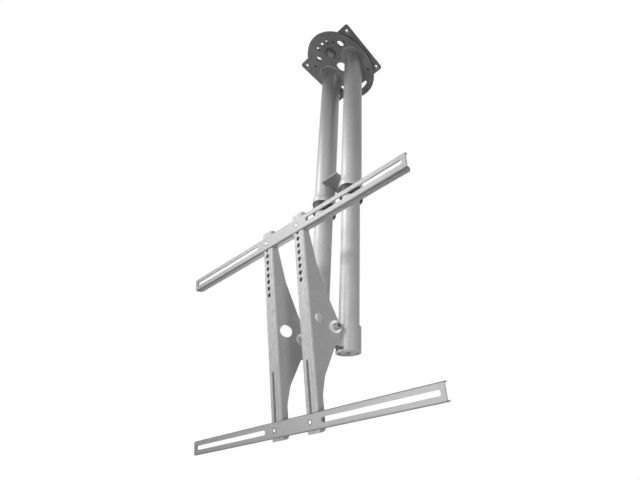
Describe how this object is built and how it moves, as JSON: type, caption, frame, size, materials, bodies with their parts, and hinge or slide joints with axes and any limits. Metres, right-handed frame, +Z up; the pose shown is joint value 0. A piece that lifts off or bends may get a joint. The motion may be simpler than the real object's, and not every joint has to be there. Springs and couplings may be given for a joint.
{
  "type": "tv ceiling mount",
  "caption": "Ceiling mount for a flat screen: a swivel plate, telescopic columns and a tilting cradle with slotted rails.",
  "frame": {"origin": "centre of the ceiling plate's top face, where it meets the ceiling", "axes": "+Z up into the ceiling, X along the rails, -Y towards the screen"},
  "size_m": [0.681, 0.2257, 1.14],
  "materials": {
    "charcoal_paint": "fine matt powder coat",
    "silver_paint": "satin silver coat",
    "zinc_steel": "bright zinc plate",
    "black_plastic": "fine matt",
    "grey_plastic": "fine matt",
    "nylon": "smooth"
  },
  "bodies": {
    "ceiling": {"ceiling_plate": "charcoal_paint", "swivel_hub": "charcoal_paint", "swivel_liner": "nylon"},
    "column": {"swivel_disc": "charcoal_paint", "swivel_lock_bolt": "charcoal_paint", "swivel_lock_washer": "charcoal_paint", "left_tube_flange": "charcoal_paint", "right_tube_flange": "charcoal_paint", "left_outer_tube": "silver_paint", "right_outer_tube": "silver_paint", "tube_brace": "silver_paint", "left_collar": "black_plastic", "right_collar": "black_plastic", "left_bushing": "nylon", "right_bushing": "nylon", "height_lock_screws": "zinc_steel"},
    "carriage": {"left_inner_tube": "silver_paint", "right_inner_tube": "silver_paint", "left_guide_ring": "nylon", "right_guide_ring": "nylon", "left_pivot_bracket": "silver_paint", "right_pivot_bracket": "silver_paint", "left_end_cap": "grey_plastic", "right_end_cap": "grey_plastic", "end_cap_screws": "black_plastic"},
    "cradle": {"left_arm": "silver_paint", "right_arm": "silver_paint", "left_tilt_bolt": "zinc_steel", "right_tilt_bolt": "zinc_steel", "left_tilt_washer": "zinc_steel", "right_tilt_washer": "zinc_steel", "tilt_nuts": "zinc_steel", "upper_rail": "silver_paint", "upper_rail_screws": "zinc_steel", "upper_rail_nuts": "zinc_steel"},
    "lower_rail": {"lower_rail": "silver_paint", "lower_rail_screws": "zinc_steel", "lower_rail_nuts": "zinc_steel"}
  },
  "joints": [
    {"name": "swivel", "type": "hinge", "parent": "ceiling", "child": "column", "pos_m": [0, 0, -0.009], "axis": [0, 0, 1], "range_deg": [-60, 60]},
    {"name": "height", "type": "slide", "parent": "column", "child": "carriage", "axis": [0, 0, 1], "range_m": [-0.06, 0.33]},
    {"name": "tilt", "type": "hinge", "parent": "carriage", "child": "cradle", "pos_m": [0, -0.0415, -0.939], "axis": [1, 0, 0], "range_deg": [-14, 11]},
    {"name": "lower_rail_slide", "type": "slide", "parent": "cradle", "child": "lower_rail", "axis": [0, -0.1392, 0.9903], "range_m": [0, 0.1]}
  ]
}
